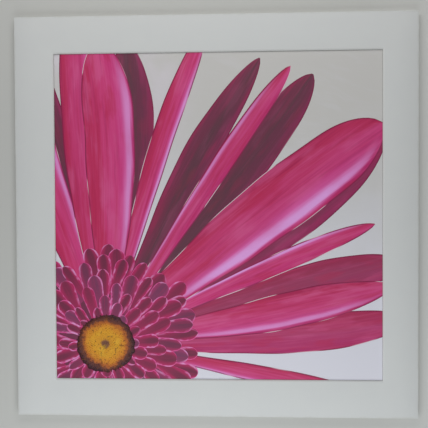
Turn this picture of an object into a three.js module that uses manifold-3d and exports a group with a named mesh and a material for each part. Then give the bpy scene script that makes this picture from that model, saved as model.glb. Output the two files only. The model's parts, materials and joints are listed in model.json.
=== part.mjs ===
// A square painting of a flower in a window mount, ready to hang. The canvas panel sits in a sink of four
// board strips, between a foam backing board and a bevelled window mat. Four pairs of adhesive hook strips
// hold the back to the wall.
//
// Millimetres. X is to the right, Z is up, and the wall's face is Y = 0 with the picture on its -Y side.
// Every layer is drawn flat, with X to the right, Y up and Z out from the wall, and one group stands the
// whole stack up. Thicknesses are whole eighths, so that faces that touch meet exactly.

import * as THREE from "three";
import { mergeVertices } from "three/addons/utils/BufferGeometryUtils.js";
import Module from "manifold-3d";

const wasm = await Module();
wasm.setup();

// ---- Driving dimensions ----

const OUTER_SIDE = 600; // mat and backing board, each way
const BORDER = { left: 59.5, right: 52, bottom: 56, top: 56 }; // mat from its edge to the window's foot
const PANEL_SIDE = 500; // stock canvas panel

const MAT_THICKNESS = 2.25; // six-ply board, cut at 45 degrees round the window
const BACKING_THICKNESS = 3; // foam board
const PAINT_ROOM = 1; // between the canvas and the mat, for the raised paint
const TAPE_THICKNESS = 0.125;
const TAPE_WIDTH = 19;

const CORE_THICKNESS = 2.5; // the panel's grey board
const CANVAS_THICKNESS = 0.375; // primed cotton
const CANVAS_TURNOVER = 12; // canvas folded over the panel's back
const PAPER_THICKNESS = 0.25; // paper glued over the panel's back
const PAPER_INSET = 4; // from the panel's edge
const PAPER_EASE = 0.25; // between the paper's pressed centre and the turned canvas

const SINK_INSET = 2; // strips' outer edges, from the mat's
const SINK_CLEARANCE = 0.75; // round the panel
const SINK_JOINT = 0.25; // between one strip's end and the next strip's side
const TAPE_END_GAP = 8; // from a strip's end to its tape's

const HOOK_STRIP = { width: 19, length: 70, thickness: 1, corner: 3 };
const PULL_TAB = { length: 12, thickness: 0.25 };
const HOOK_STRIP_X = 200; // strip centres, from the picture's middle
const HOOK_STRIP_Y = 210;
const CORNER_STEPS = 4; // segments in each rounded corner

// ---- Levels, measured out from the wall ----

const wallStripBack = 0;
const pictureStripBack = wallStripBack + HOOK_STRIP.thickness;
const backingBack = pictureStripBack + HOOK_STRIP.thickness;
const backingFront = backingBack + BACKING_THICKNESS;
const coreBack = backingFront + PAPER_THICKNESS + CANVAS_THICKNESS;
const coreFront = coreBack + CORE_THICKNESS;
const canvasFront = coreFront + CANVAS_THICKNESS;
const matBack = canvasFront + PAINT_ROOM;
const sinkBack = backingFront + TAPE_THICKNESS;
const sinkThickness = matBack - TAPE_THICKNESS - sinkBack;

// ---- Rectangles in the picture's plane ----

const grown = (r, by) => ({
  left: r.left - by,
  right: r.right + by,
  bottom: r.bottom - by,
  top: r.top + by,
});

const square = (side, x = 0, y = 0) => ({
  left: x - side / 2,
  right: x + side / 2,
  bottom: y - side / 2,
  top: y + side / 2,
});

const outerEdge = square(OUTER_SIDE);
const windowFoot = {
  left: outerEdge.left + BORDER.left,
  right: outerEdge.right - BORDER.right,
  bottom: outerEdge.bottom + BORDER.bottom,
  top: outerEdge.top - BORDER.top,
};
const panelEdge = square(
  PANEL_SIDE,
  (windowFoot.left + windowFoot.right) / 2,
  (windowFoot.bottom + windowFoot.top) / 2,
);

// ---- Shapes and solids ----

function outline(r, corner = 0) {
  const shape = new THREE.Shape();
  if (corner === 0) {
    shape.moveTo(r.left, r.bottom).lineTo(r.right, r.bottom).lineTo(r.right, r.top).lineTo(r.left, r.top);
    return shape;
  }
  const inner = grown(r, -corner);
  shape.absarc(inner.right, inner.bottom, corner, -Math.PI / 2, 0);
  shape.absarc(inner.right, inner.top, corner, 0, Math.PI / 2);
  shape.absarc(inner.left, inner.top, corner, Math.PI / 2, Math.PI);
  shape.absarc(inner.left, inner.bottom, corner, Math.PI, 1.5 * Math.PI);
  return shape;
}

function slab(r, thickness, { back = 0, corner = 0 } = {}) {
  const settings = { depth: thickness, bevelEnabled: false, curveSegments: CORNER_STEPS };
  return new THREE.ExtrudeGeometry(outline(r, corner), settings).translate(0, 0, back);
}

// A box that widens by as much as it rises, with the rectangle r at height 0. It runs past both faces of a
// board of this thickness, to cut a window with a 45 degree bevel.
function bevelCutter(r, thickness) {
  const past = 1;
  const cutter = new THREE.BoxGeometry(1, 1, 1);
  const corners = cutter.getAttribute("position");
  for (let i = 0; i < corners.count; i += 1) {
    const height = corners.getZ(i) < 0 ? -past : thickness + past;
    const at = grown(r, height);
    const x = corners.getX(i) < 0 ? at.left : at.right;
    const y = corners.getY(i) < 0 ? at.bottom : at.top;
    corners.setXYZ(i, x, y, height);
  }
  return cutter;
}

function solid(geometry) {
  const bare = geometry.clone().deleteAttribute("normal").deleteAttribute("uv");
  const merged = mergeVertices(bare);
  const vertProperties = merged.getAttribute("position").array;
  const triVerts = new Uint32Array(merged.getIndex().array);
  return new wasm.Manifold(new wasm.Mesh({ numProp: 3, vertProperties, triVerts }));
}

function surface(manifold) {
  const { vertProperties, triVerts } = manifold.getMesh();
  const indexed = new THREE.BufferGeometry();
  indexed.setAttribute("position", new THREE.BufferAttribute(vertProperties, 3));
  indexed.setIndex(new THREE.BufferAttribute(triVerts, 1));
  const faceted = indexed.toNonIndexed();
  faceted.computeVertexNormals();
  return faceted;
}

// ---- Materials ----

const finish = (color, roughness) => new THREE.MeshStandardMaterial({ color, roughness, metalness: 0 });

const matBoard = finish("#e9ecec", 0.85);
const paintedCanvas = finish("#b93a66", 0.6);
const greyBoard = finish("#9a958c", 0.9);
const kraftPaper = finish("#b79c78", 0.85);
const stripBoard = finish("#e4e2da", 0.85);
const foamBoard = finish("#f0f0ec", 0.75);
const doubleSidedTape = finish("#e8e4d4", 0.5);
const hookPlastic = finish("#f4f4f2", 0.45);

function piece(name, geometry, material, back) {
  const mesh = new THREE.Mesh(geometry, material);
  mesh.name = name;
  mesh.position.z = back;
  return mesh;
}

// ---- Window mat ----

function windowMat() {
  const board = solid(slab(outerEdge, MAT_THICKNESS));
  const window = solid(bevelCutter(windowFoot, MAT_THICKNESS));
  return piece("window_mat", surface(board.subtract(window)), matBoard, matBack);
}

// ---- Canvas panel: core, canvas folded round it, and paper over the folds ----

function canvasPanel() {
  const panel = new THREE.Group();
  const coreEdge = grown(panelEdge, -CANVAS_THICKNESS);
  const foldEdge = grown(panelEdge, -CANVAS_TURNOVER);
  panel.add(piece("panel_core", slab(coreEdge, CORE_THICKNESS), greyBoard, coreBack));

  const wrap = solid(slab(panelEdge, CORE_THICKNESS + 2 * CANVAS_THICKNESS, { back: -CANVAS_THICKNESS }));
  const room = solid(slab(coreEdge, CORE_THICKNESS));
  const backOpening = solid(slab(foldEdge, CORE_THICKNESS, { back: -CORE_THICKNESS / 2 }));
  const canvas = surface(wrap.subtract(room).subtract(backOpening));
  panel.add(piece("canvas", canvas, paintedCanvas, coreBack));

  const pressed = grown(foldEdge, -PAPER_EASE);
  const lifted = grown(pressed, -PAPER_THICKNESS);
  const rim = solid(slab(grown(panelEdge, -PAPER_INSET), PAPER_THICKNESS));
  const pan = solid(slab(pressed, PAPER_THICKNESS + CANVAS_THICKNESS));
  const hollow = solid(slab(lifted, 2 * CANVAS_THICKNESS, { back: -CANVAS_THICKNESS }));
  const backPaper = surface(rim.add(pan).subtract(hollow));
  panel.add(piece("panel_back_paper", backPaper, kraftPaper, backingFront));
  return panel;
}

// ---- Sink mount: four strips round the panel, each taped to the backing board and to the mat ----

function sinkMount() {
  const sink = new THREE.Group();
  const sinkFront = sinkBack + sinkThickness;
  const outer = grown(outerEdge, -SINK_INSET);
  const inner = grown(panelEdge, SINK_CLEARANCE);
  const between = { bottom: inner.bottom + SINK_JOINT, top: inner.top - SINK_JOINT };
  const strips = {
    top: { ...outer, bottom: inner.top },
    bottom: { ...outer, top: inner.bottom },
    left: { ...between, left: outer.left, right: inner.left },
    right: { ...between, left: inner.right, right: outer.right },
  };
  for (const [side, strip] of Object.entries(strips)) {
    const tape = tapeAlong(strip);
    sink.add(piece(`sink_strip_${side}`, slab(strip, sinkThickness), stripBoard, sinkBack));
    sink.add(piece(`backing_tape_${side}`, slab(tape, TAPE_THICKNESS), doubleSidedTape, backingFront));
    sink.add(piece(`mat_tape_${side}`, slab(tape, TAPE_THICKNESS), doubleSidedTape, sinkFront));
  }
  return sink;
}

// The tape runs down the middle of a strip, along its length.
function tapeAlong(strip) {
  const x = (strip.left + strip.right) / 2;
  const y = (strip.bottom + strip.top) / 2;
  const lying = strip.right - strip.left > strip.top - strip.bottom;
  if (lying) {
    const ends = { left: strip.left + TAPE_END_GAP, right: strip.right - TAPE_END_GAP };
    return { ...ends, bottom: y - TAPE_WIDTH / 2, top: y + TAPE_WIDTH / 2 };
  }
  const ends = { bottom: strip.bottom + TAPE_END_GAP, top: strip.top - TAPE_END_GAP };
  return { ...ends, left: x - TAPE_WIDTH / 2, right: x + TAPE_WIDTH / 2 };
}

// ---- Backing board ----

function backingBoard() {
  return piece("backing_board", slab(outerEdge, BACKING_THICKNESS), foamBoard, backingBack);
}

// ---- Hook strips: each pair is one half on the wall and one on the picture, locked face to face ----

function hookStrip(tabLevel) {
  const pad = {
    left: -HOOK_STRIP.width / 2,
    right: HOOK_STRIP.width / 2,
    bottom: -HOOK_STRIP.length / 2,
    top: HOOK_STRIP.length / 2,
  };
  const withTab = { ...pad, bottom: pad.bottom - PULL_TAB.length };
  const body = solid(slab(pad, HOOK_STRIP.thickness, { corner: HOOK_STRIP.corner }));
  const tab = solid(slab(withTab, PULL_TAB.thickness, { back: tabLevel, corner: HOOK_STRIP.corner }));
  return surface(body.add(tab));
}

function hangingStrips() {
  const strips = new THREE.Group();
  const adhesiveAtBack = 0;
  const adhesiveAtFront = HOOK_STRIP.thickness - PULL_TAB.thickness;
  for (const [row, y] of [["top", HOOK_STRIP_Y], ["bottom", -HOOK_STRIP_Y]]) {
    for (const [column, x] of [["left", -HOOK_STRIP_X], ["right", HOOK_STRIP_X]]) {
      const pair = new THREE.Group();
      pair.position.set(x, y, 0);
      const wallHalf = hookStrip(adhesiveAtBack);
      const pictureHalf = hookStrip(adhesiveAtFront);
      pair.add(piece(`wall_strip_${row}_${column}`, wallHalf, hookPlastic, wallStripBack));
      pair.add(piece(`picture_strip_${row}_${column}`, pictureHalf, hookPlastic, pictureStripBack));
      strips.add(pair);
    }
  }
  return strips;
}

// ---- The picture, stood up against the wall ----

const stack = new THREE.Group();
stack.add(windowMat(), canvasPanel(), sinkMount(), backingBoard(), hangingStrips());
stack.rotation.x = Math.PI / 2;

const picture = new THREE.Group();
picture.add(stack);

export default picture;
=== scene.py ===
"""Looks of a square flower painting in a window mount, ready to hang.

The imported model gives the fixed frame: a window mat, a canvas panel in a sink of board strips, a foam
backing board and four pairs of hook strips. This script refines the boards, paints the canvas with a
flower laid out by rule, and gives every piece its finish.

The picture stands in the XZ plane and faces -Y. What lies on the canvas is worked out flat first, as
(x, y, out): x to the right, y up and out from the canvas, and then stood up. Lengths are in metres.
"""

from __future__ import annotations

import json
import logging
import math
import random
from collections.abc import Iterable, Sequence
from dataclasses import dataclass, field
from enum import Enum
from typing import Any, ClassVar

import bmesh
import bpy
from mathutils import Matrix, Vector, noise
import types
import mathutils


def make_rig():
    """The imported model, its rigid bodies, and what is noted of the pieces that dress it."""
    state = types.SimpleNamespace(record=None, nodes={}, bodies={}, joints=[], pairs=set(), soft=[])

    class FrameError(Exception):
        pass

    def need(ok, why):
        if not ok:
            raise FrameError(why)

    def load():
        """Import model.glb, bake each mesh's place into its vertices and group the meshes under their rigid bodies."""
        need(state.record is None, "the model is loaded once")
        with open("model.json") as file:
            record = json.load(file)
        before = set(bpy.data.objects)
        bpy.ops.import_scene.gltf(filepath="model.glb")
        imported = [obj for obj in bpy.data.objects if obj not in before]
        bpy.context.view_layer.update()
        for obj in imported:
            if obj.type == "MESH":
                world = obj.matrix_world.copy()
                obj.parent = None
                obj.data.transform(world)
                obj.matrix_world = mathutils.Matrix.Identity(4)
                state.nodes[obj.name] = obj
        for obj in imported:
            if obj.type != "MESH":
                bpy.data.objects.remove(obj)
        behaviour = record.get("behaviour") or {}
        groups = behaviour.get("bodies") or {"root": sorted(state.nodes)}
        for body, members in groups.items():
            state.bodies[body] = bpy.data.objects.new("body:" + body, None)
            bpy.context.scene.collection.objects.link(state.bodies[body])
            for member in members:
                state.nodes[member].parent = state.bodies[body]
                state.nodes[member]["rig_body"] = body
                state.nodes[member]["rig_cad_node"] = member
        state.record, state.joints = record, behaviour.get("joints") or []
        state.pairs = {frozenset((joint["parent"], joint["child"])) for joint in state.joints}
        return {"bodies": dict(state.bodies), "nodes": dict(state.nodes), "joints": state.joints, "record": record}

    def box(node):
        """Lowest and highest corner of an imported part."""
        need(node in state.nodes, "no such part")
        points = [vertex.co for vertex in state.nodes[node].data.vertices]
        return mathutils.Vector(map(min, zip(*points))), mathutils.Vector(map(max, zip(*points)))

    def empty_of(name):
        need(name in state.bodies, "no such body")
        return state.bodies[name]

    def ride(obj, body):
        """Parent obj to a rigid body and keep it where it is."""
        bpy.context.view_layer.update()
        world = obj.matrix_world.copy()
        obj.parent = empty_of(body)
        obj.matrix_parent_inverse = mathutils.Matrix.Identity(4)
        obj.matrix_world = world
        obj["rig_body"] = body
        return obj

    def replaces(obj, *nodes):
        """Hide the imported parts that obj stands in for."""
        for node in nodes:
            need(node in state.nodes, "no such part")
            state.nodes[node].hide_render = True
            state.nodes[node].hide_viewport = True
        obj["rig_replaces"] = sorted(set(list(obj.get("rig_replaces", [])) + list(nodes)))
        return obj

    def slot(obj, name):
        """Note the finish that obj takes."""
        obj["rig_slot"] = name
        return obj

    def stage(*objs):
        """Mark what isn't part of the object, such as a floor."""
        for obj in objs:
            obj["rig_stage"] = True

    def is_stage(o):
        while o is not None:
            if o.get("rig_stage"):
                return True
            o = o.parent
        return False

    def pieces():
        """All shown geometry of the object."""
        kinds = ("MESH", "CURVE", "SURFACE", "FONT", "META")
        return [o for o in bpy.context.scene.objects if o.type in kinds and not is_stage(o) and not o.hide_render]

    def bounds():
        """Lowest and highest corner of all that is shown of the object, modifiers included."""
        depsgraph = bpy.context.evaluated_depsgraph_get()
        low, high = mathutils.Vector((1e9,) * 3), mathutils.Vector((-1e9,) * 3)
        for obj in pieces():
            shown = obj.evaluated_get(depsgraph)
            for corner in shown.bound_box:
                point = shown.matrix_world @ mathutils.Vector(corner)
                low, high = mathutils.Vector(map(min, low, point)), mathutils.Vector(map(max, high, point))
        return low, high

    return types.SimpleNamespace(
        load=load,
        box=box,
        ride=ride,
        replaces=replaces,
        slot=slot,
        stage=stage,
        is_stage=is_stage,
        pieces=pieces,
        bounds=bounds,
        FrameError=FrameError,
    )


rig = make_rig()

log = logging.getLogger("matted_picture")

SIZE_FILE = "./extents.json"
MM = 0.001
GOLDEN_ANGLE = math.pi * (3 - math.sqrt(5))
STAND_UP = Matrix.Rotation(math.pi / 2, 4, "X")  # flat (x, y, out) to the picture's own plane
SEEN_LIGHT = 0.63  # how bright a perfectly white board shows, which pigments are mixed against
SHEEN = 0.007  # what the paint's own sheen adds to every colour
PAINT_GLOSS = 0.3  # the paint's specular level
HAIR_DEPTH = 0.1 * MM  # how deep a brush's hairs seem to mark the paint

Colour = tuple[float, float, float, float]
Socket = bpy.types.NodeSocket
Input = float | int | Sequence[float] | Socket
Inputs = dict[str | int, Input]


# ---- Colour and node helpers ----


def linear(channel: float) -> float:
    """Turns one display value from 0 to 1 into linear light."""
    return channel / 12.92 if channel <= 0.04045 else ((channel + 0.055) / 1.055) ** 2.4


def pigment(red: int, green: int, blue: int) -> Colour:
    """Mixes the pigment that shows as these display values in the scene's light.

    Args:
        red, green, blue: Display values from 0 to 255.

    Returns:
        The linear colour with alpha 1.
    """
    mixed = ((linear(value / 255) - SHEEN) / SEEN_LIGHT for value in (red, green, blue))
    return (*(min(max(value, 0.005), 0.95) for value in mixed), 1.0)


class Wiring:
    """Adds and links the nodes of one shader or geometry tree."""

    def __init__(self, tree: bpy.types.NodeTree) -> None:
        """Keeps the tree that the nodes go into."""
        self.tree = tree

    def feed(self, socket: Socket, value: Input) -> None:
        """Links a socket to another, or sets its own value."""
        if isinstance(value, bpy.types.NodeSocket):
            self.tree.links.new(value, socket)
        else:
            socket.default_value = value

    def node(self, kind: str, inputs: Inputs | None = None, **settings: Any) -> bpy.types.Node:
        """Adds one node.

        Args:
            kind: The node's type name.
            inputs: Values or sockets by input name or number.
            **settings: The node's own properties.

        Returns:
            The new node.
        """
        made = self.tree.nodes.new(kind)
        for name, value in settings.items():
            setattr(made, name, value)
        for key, value in (inputs or {}).items():
            self.feed(made.inputs[key], value)
        return made

    def math(self, operation: str, first: Input, second: Input = 0.0) -> Socket:
        """Adds a Math node and returns its value."""
        return self.node("ShaderNodeMath", {0: first, 1: second}, operation=operation).outputs[0]

    def times(self, first: Input, second: Input) -> Socket:
        """Multiplies two values."""
        return self.math("MULTIPLY", first, second)

    def plus(self, first: Input, second: Input) -> Socket:
        """Adds two values."""
        return self.math("ADD", first, second)

    def minus(self, first: Input, second: Input) -> Socket:
        """Takes the second value from the first."""
        return self.math("SUBTRACT", first, second)

    def vector_math(self, operation: str, first: Input, second: Input = (0.0, 0.0, 0.0)) -> bpy.types.Node:
        """Adds a Vector Math node and returns it."""
        return self.node("ShaderNodeVectorMath", {0: first, 1: second}, operation=operation)

    def mix(self, share: Input, first: Input, second: Input) -> Socket:
        """Mixes two colours.

        Args:
            share: How much of the second colour shows.
            first: The colour underneath.
            second: The colour laid over it.

        Returns:
            The mixed colour.
        """
        inputs = {0: share, 6: first, 7: second}
        return self.node("ShaderNodeMix", inputs, data_type="RGBA").outputs[2]

    def ramp(self, value: Input, stops: Sequence[tuple[float, Colour]]) -> Socket:
        """Adds a colour ramp whose colours ease into one another.

        Args:
            value: The place along the ramp.
            stops: Each stop's place and colour, in order.

        Returns:
            The ramp's colour.
        """
        made = self.node("ShaderNodeValToRGB", {0: value})
        made.color_ramp.interpolation = "EASE"
        elements = made.color_ramp.elements
        elements[0].position, elements[0].color = stops[0]
        elements[1].position, elements[1].color = stops[-1]
        for place, colour in stops[1:-1]:
            elements.new(place).color = colour
        return made.outputs[0]

    def fade(self, value: Input, start: Input, end: Input, low: Input = 0.0, high: Input = 1.0) -> Socket:
        """Eases from low at start to high at end."""
        inputs = {0: value, 1: start, 2: end, 3: low, 4: high}
        return self.node("ShaderNodeMapRange", inputs, interpolation_type="SMOOTHSTEP").outputs[0]

    def noise(self, vector: Input, scale: Input, detail: float = 2.0, roughness: float = 0.5) -> Socket:
        """Adds a noise texture and returns its value."""
        inputs = {"Vector": vector, "Scale": scale, "Detail": detail, "Roughness": roughness}
        return self.node("ShaderNodeTexNoise", inputs).outputs[0]

    def combine(self, x: Input, y: Input, z: Input) -> Socket:
        """Joins three values in a vector."""
        return self.node("ShaderNodeCombineXYZ", {0: x, 1: y, 2: z}).outputs[0]

    def split(self, vector: Socket) -> tuple[Socket, Socket, Socket]:
        """Takes a vector's three values apart."""
        made = self.node("ShaderNodeSeparateXYZ", {0: vector})
        return made.outputs[0], made.outputs[1], made.outputs[2]

    def attribute(self, name: str) -> bpy.types.Node:
        """Reads a mesh attribute."""
        return self.node("ShaderNodeAttribute", attribute_name=name, attribute_type="GEOMETRY")

    def place(self) -> Socket:
        """Reads the object's own coordinates."""
        return self.node("ShaderNodeTexCoord").outputs["Object"]

    def bump(self, height: Input, distance: float, strength: float, normal: Socket | None = None) -> Socket:
        """Turns a height into a normal.

        Args:
            height: The height, as a share of the distance.
            distance: How far the surface seems to rise, in metres.
            strength: How strongly it shows.
            normal: A normal to build on.

        Returns:
            The bent normal.
        """
        inputs: Inputs = {"Height": height, "Distance": distance, "Strength": strength}
        if normal is not None:
            inputs["Normal"] = normal
        return self.node("ShaderNodeBump", inputs).outputs[0]

    def group(self, tree: bpy.types.NodeTree, inputs: Inputs) -> bpy.types.Node:
        """Places a node group and feeds it."""
        made = self.node("ShaderNodeGroup", node_tree=tree)
        for key, value in inputs.items():
            self.feed(made.inputs[key], value)
        return made

    def coat(
        self,
        shader: bpy.types.Node,
        colour: Input,
        roughness: Input,
        gloss: float = 0.5,
        normal: Input | None = None,
    ) -> None:
        """Feeds a surface shader.

        Args:
            shader: The Principled shader.
            colour: Its base colour.
            roughness: Its roughness.
            gloss: Its specular level.
            normal: Its bent normal, if it has one.
        """
        looks = {"Base Color": colour, "Roughness": roughness, "Specular IOR Level": gloss}
        if normal is not None:
            looks["Normal"] = normal
        for key, value in looks.items():
            self.feed(shader.inputs[key], value)

    def chance(self, low: float, high: float, index: Socket, seed: Input) -> Socket:
        """Gives each copy in a geometry rule its own chance value.

        Args:
            low, high: The value's limits.
            index: The copy's number.
            seed: The seed of this draw.

        Returns:
            The value.
        """
        made = self.node("FunctionNodeRandomValue", data_type="FLOAT")
        values = {"Min": low, "Max": high, "ID": index, "Seed": seed}
        for socket in made.inputs:
            if socket.enabled and socket.name in values:
                self.feed(socket, values[socket.name])
        return next(socket for socket in made.outputs if socket.enabled)

    def around(self, reach: Socket, turn: Socket, height: Input) -> Socket:
        """The place at a distance and a turn round the flower's middle."""
        right, up = (self.times(reach, self.math(wave, turn)) for wave in ("COSINE", "SINE"))
        return self.combine(right, up, height)

    def copies(self, count: Socket, place: Socket, shape: Socket, turn: Socket, size: Socket) -> Socket:
        """Sets copies of a shape out on points.

        Args:
            count: How many.
            place: Where each one goes.
            shape: What is repeated.
            turn: How far each one is turned about its own Z.
            size: Each one's scale.

        Returns:
            The copies.
        """
        points = self.node("GeometryNodePoints", {"Count": count, "Position": place})
        rotation = self.node("FunctionNodeEulerToRotation", {0: self.combine(0.0, 0.0, turn)})
        inputs = {"Points": points.outputs[0], "Instance": shape, "Scale": size}
        made = self.node("GeometryNodeInstanceOnPoints", inputs)
        self.feed(made.inputs["Rotation"], rotation.outputs[0])
        return made.outputs[0]

    def dress(self, sink: bpy.types.Node, copies: Socket, finish: bpy.types.Material) -> bpy.types.NodeTree:
        """Ends a geometry rule.

        Args:
            sink: The rule's output node.
            copies: What the rule made.
            finish: The finish of all of it.

        Returns:
            The rule's tree.
        """
        real = self.node("GeometryNodeRealizeInstances", {0: copies})
        dressed = self.node("GeometryNodeSetMaterial", {"Geometry": real.outputs[0], "Material": finish})
        self.feed(sink.inputs[0], dressed.outputs[0])
        return self.tree


class GroupKind(Enum):
    """What a node group is for: its tree, the type of its first input and the type of its outputs."""

    EFFECT = ("ShaderNodeTree", "NodeSocketVector", "NodeSocketFloat")
    RULE = ("GeometryNodeTree", "NodeSocketGeometry", "NodeSocketGeometry")


def new_group(
    name: str, kind: GroupKind, first: str, inputs: dict[str, float | int], outputs: Sequence[str]
) -> tuple[Wiring, bpy.types.Node, bpy.types.Node]:
    """Starts a node group with named sockets.

    Args:
        name: The group's name.
        kind: What the group is for.
        first: The name of its first input, a vector or a geometry.
        inputs: The other inputs' defaults by name, whole numbers as integers.
        outputs: The outputs' names.

    Returns:
        The group's wiring, its input node and its output node.
    """
    tree_type, first_type, output_type = kind.value
    tree = bpy.data.node_groups.new(name, tree_type)
    tree.interface.new_socket(name=first, in_out="INPUT", socket_type=first_type)
    for label, default in inputs.items():
        number = "NodeSocketInt" if isinstance(default, int) else "NodeSocketFloat"
        tree.interface.new_socket(name=label, in_out="INPUT", socket_type=number).default_value = default
    for label in outputs:
        tree.interface.new_socket(name=label, in_out="OUTPUT", socket_type=output_type)
    wiring = Wiring(tree)
    return wiring, wiring.node("NodeGroupInput"), wiring.node("NodeGroupOutput")


def new_material(name: str) -> tuple[bpy.types.Material, Wiring, bpy.types.Node]:
    """Starts a material with an empty Principled shader.

    Args:
        name: The material's name.

    Returns:
        The material, its wiring and its shader node.
    """
    material = bpy.data.materials.new(name)
    material.use_nodes = True
    material.node_tree.nodes.clear()
    wiring = Wiring(material.node_tree)
    shader = wiring.node("ShaderNodeBsdfPrincipled")
    wiring.node("ShaderNodeOutputMaterial", {"Surface": shader.outputs[0]})
    return material, wiring, shader


# ---- Effects that several finishes share ----


class Effect(Enum):
    """The shader node groups, by name."""

    BRUSH_STREAKS = "brush_streaks"
    CANVAS_WEAVE = "canvas_weave"
    PAPER_TOOTH = "paper_tooth"
    SOFT_MOTTLE = "soft_mottle"

    @property
    def tree(self) -> bpy.types.NodeTree:
        """The group's tree, built when it is first asked for."""
        return bpy.data.node_groups.get(self.value) or EFFECT_MAKERS[self]()


def make_brush_streaks() -> bpy.types.NodeTree:
    """Builds the streaks that a brush's hairs leave along a stroke."""
    inputs, outputs = {"Hairs": 420.0, "Run": 9.0}, ("Light", "Dark", "Height")
    w, source, sink = new_group(Effect.BRUSH_STREAKS.value, GroupKind.EFFECT, "Stroke", inputs, outputs)
    along, across, seed = w.split(source.outputs["Stroke"])
    run = w.times(along, source.outputs["Run"])
    hairs = w.times(across, source.outputs["Hairs"])
    broad = w.times(hairs, 0.3)
    fine_streaks = w.noise(w.combine(run, hairs, w.times(seed, 37.0)), 1.0, 3.0, 0.6)
    broad_streaks = w.noise(w.combine(w.times(run, 0.7), broad, seed), 1.0, 2.0, 0.5)
    height = w.plus(w.times(fine_streaks, 0.6), w.times(broad_streaks, 0.4))
    w.feed(sink.inputs["Light"], w.fade(height, 0.5, 0.66))
    w.feed(sink.inputs["Dark"], w.fade(height, 0.5, 0.35))
    w.feed(sink.inputs["Height"], height)
    return w.tree


def make_canvas_weave() -> bpy.types.NodeTree:
    """Builds the over-and-under of cotton threads in the XZ plane."""
    pitch = 0.6 * MM
    w, source, sink = new_group(
        Effect.CANVAS_WEAVE.value, GroupKind.EFFECT, "Vector", {"Pitch": pitch}, ["Height"]
    )
    wander = w.times(w.minus(w.noise(source.outputs["Vector"], 60.0), 0.5), pitch)
    x, _, z = w.split(source.outputs["Vector"])
    turns = w.math("DIVIDE", math.pi, source.outputs["Pitch"])
    warp = w.math("SINE", w.times(w.plus(x, wander), turns))
    weft = w.math("SINE", w.times(w.plus(z, wander), turns))
    crossing = w.times(warp, weft)
    threads = w.plus(w.math("ABSOLUTE", warp), w.math("ABSOLUTE", weft))
    height = w.plus(w.times(crossing, 0.35), w.times(threads, 0.3))
    w.feed(sink.inputs["Height"], height)
    return w.tree


def make_paper_tooth() -> bpy.types.NodeTree:
    """Builds the fine felt of a board's surface paper."""
    inputs, outputs = {"Grain": 900.0}, ("Height", "Tone")
    w, source, sink = new_group(Effect.PAPER_TOOTH.value, GroupKind.EFFECT, "Vector", inputs, outputs)
    felt = w.noise(source.outputs["Vector"], source.outputs["Grain"], 4.0, 0.65)
    cloud = w.noise(source.outputs["Vector"], w.times(source.outputs["Grain"], 0.03), 3.0, 0.55)
    w.feed(sink.inputs["Height"], felt)
    tone = w.plus(w.times(cloud, 0.7), w.times(felt, 0.3))
    w.feed(sink.inputs["Tone"], tone)
    return w.tree


def make_soft_mottle() -> bpy.types.NodeTree:
    """Builds broad uneven patches, from 0 to 1."""
    w, source, sink = new_group(
        Effect.SOFT_MOTTLE.value, GroupKind.EFFECT, "Vector", {"Scale": 8.0}, ["Value"]
    )
    patches = w.noise(source.outputs["Vector"], source.outputs["Scale"], 4.0, 0.55)
    w.feed(sink.inputs["Value"], w.fade(patches, 0.3, 0.7))
    return w.tree


EFFECT_MAKERS = {
    Effect.BRUSH_STREAKS: make_brush_streaks,
    Effect.CANVAS_WEAVE: make_canvas_weave,
    Effect.PAPER_TOOTH: make_paper_tooth,
    Effect.SOFT_MOTTLE: make_soft_mottle,
}


# ---- Paint finishes ----


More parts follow.
